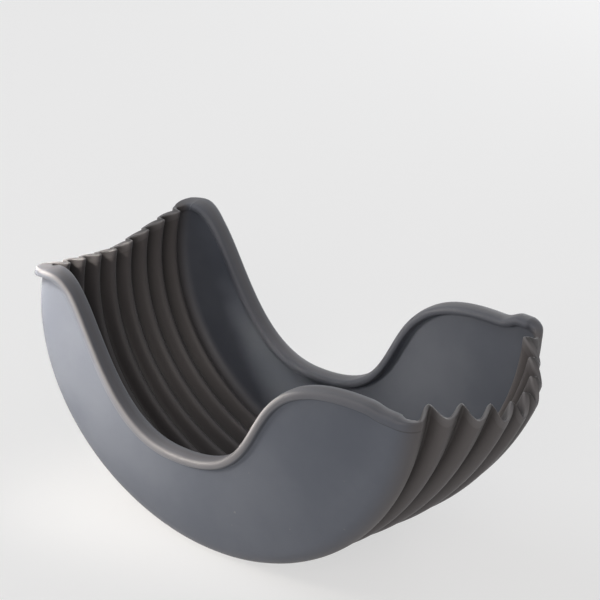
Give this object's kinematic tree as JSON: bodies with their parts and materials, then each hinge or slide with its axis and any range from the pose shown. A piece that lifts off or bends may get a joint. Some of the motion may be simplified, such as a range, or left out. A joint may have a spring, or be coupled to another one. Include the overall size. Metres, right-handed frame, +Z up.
{
  "type": "burger holder",
  "caption": "Soft moulded burger holder: half-round side plates with wavy, beaded rims, joined round the edge by a pleated band that stretches, open at the top.",
  "frame": {"origin": "on the table, under the middle of the overall size", "axes": "+Z up, +X along the half-round plates toward the side where the pleats swell, -Y toward the front plate"},
  "size_m": [0.13, 0.0636, 0.0642],
  "materials": {
    "holder": "satin"
  },
  "bodies": {
    "root": {"burger_holder": "holder"}
  },
  "joints": []
}
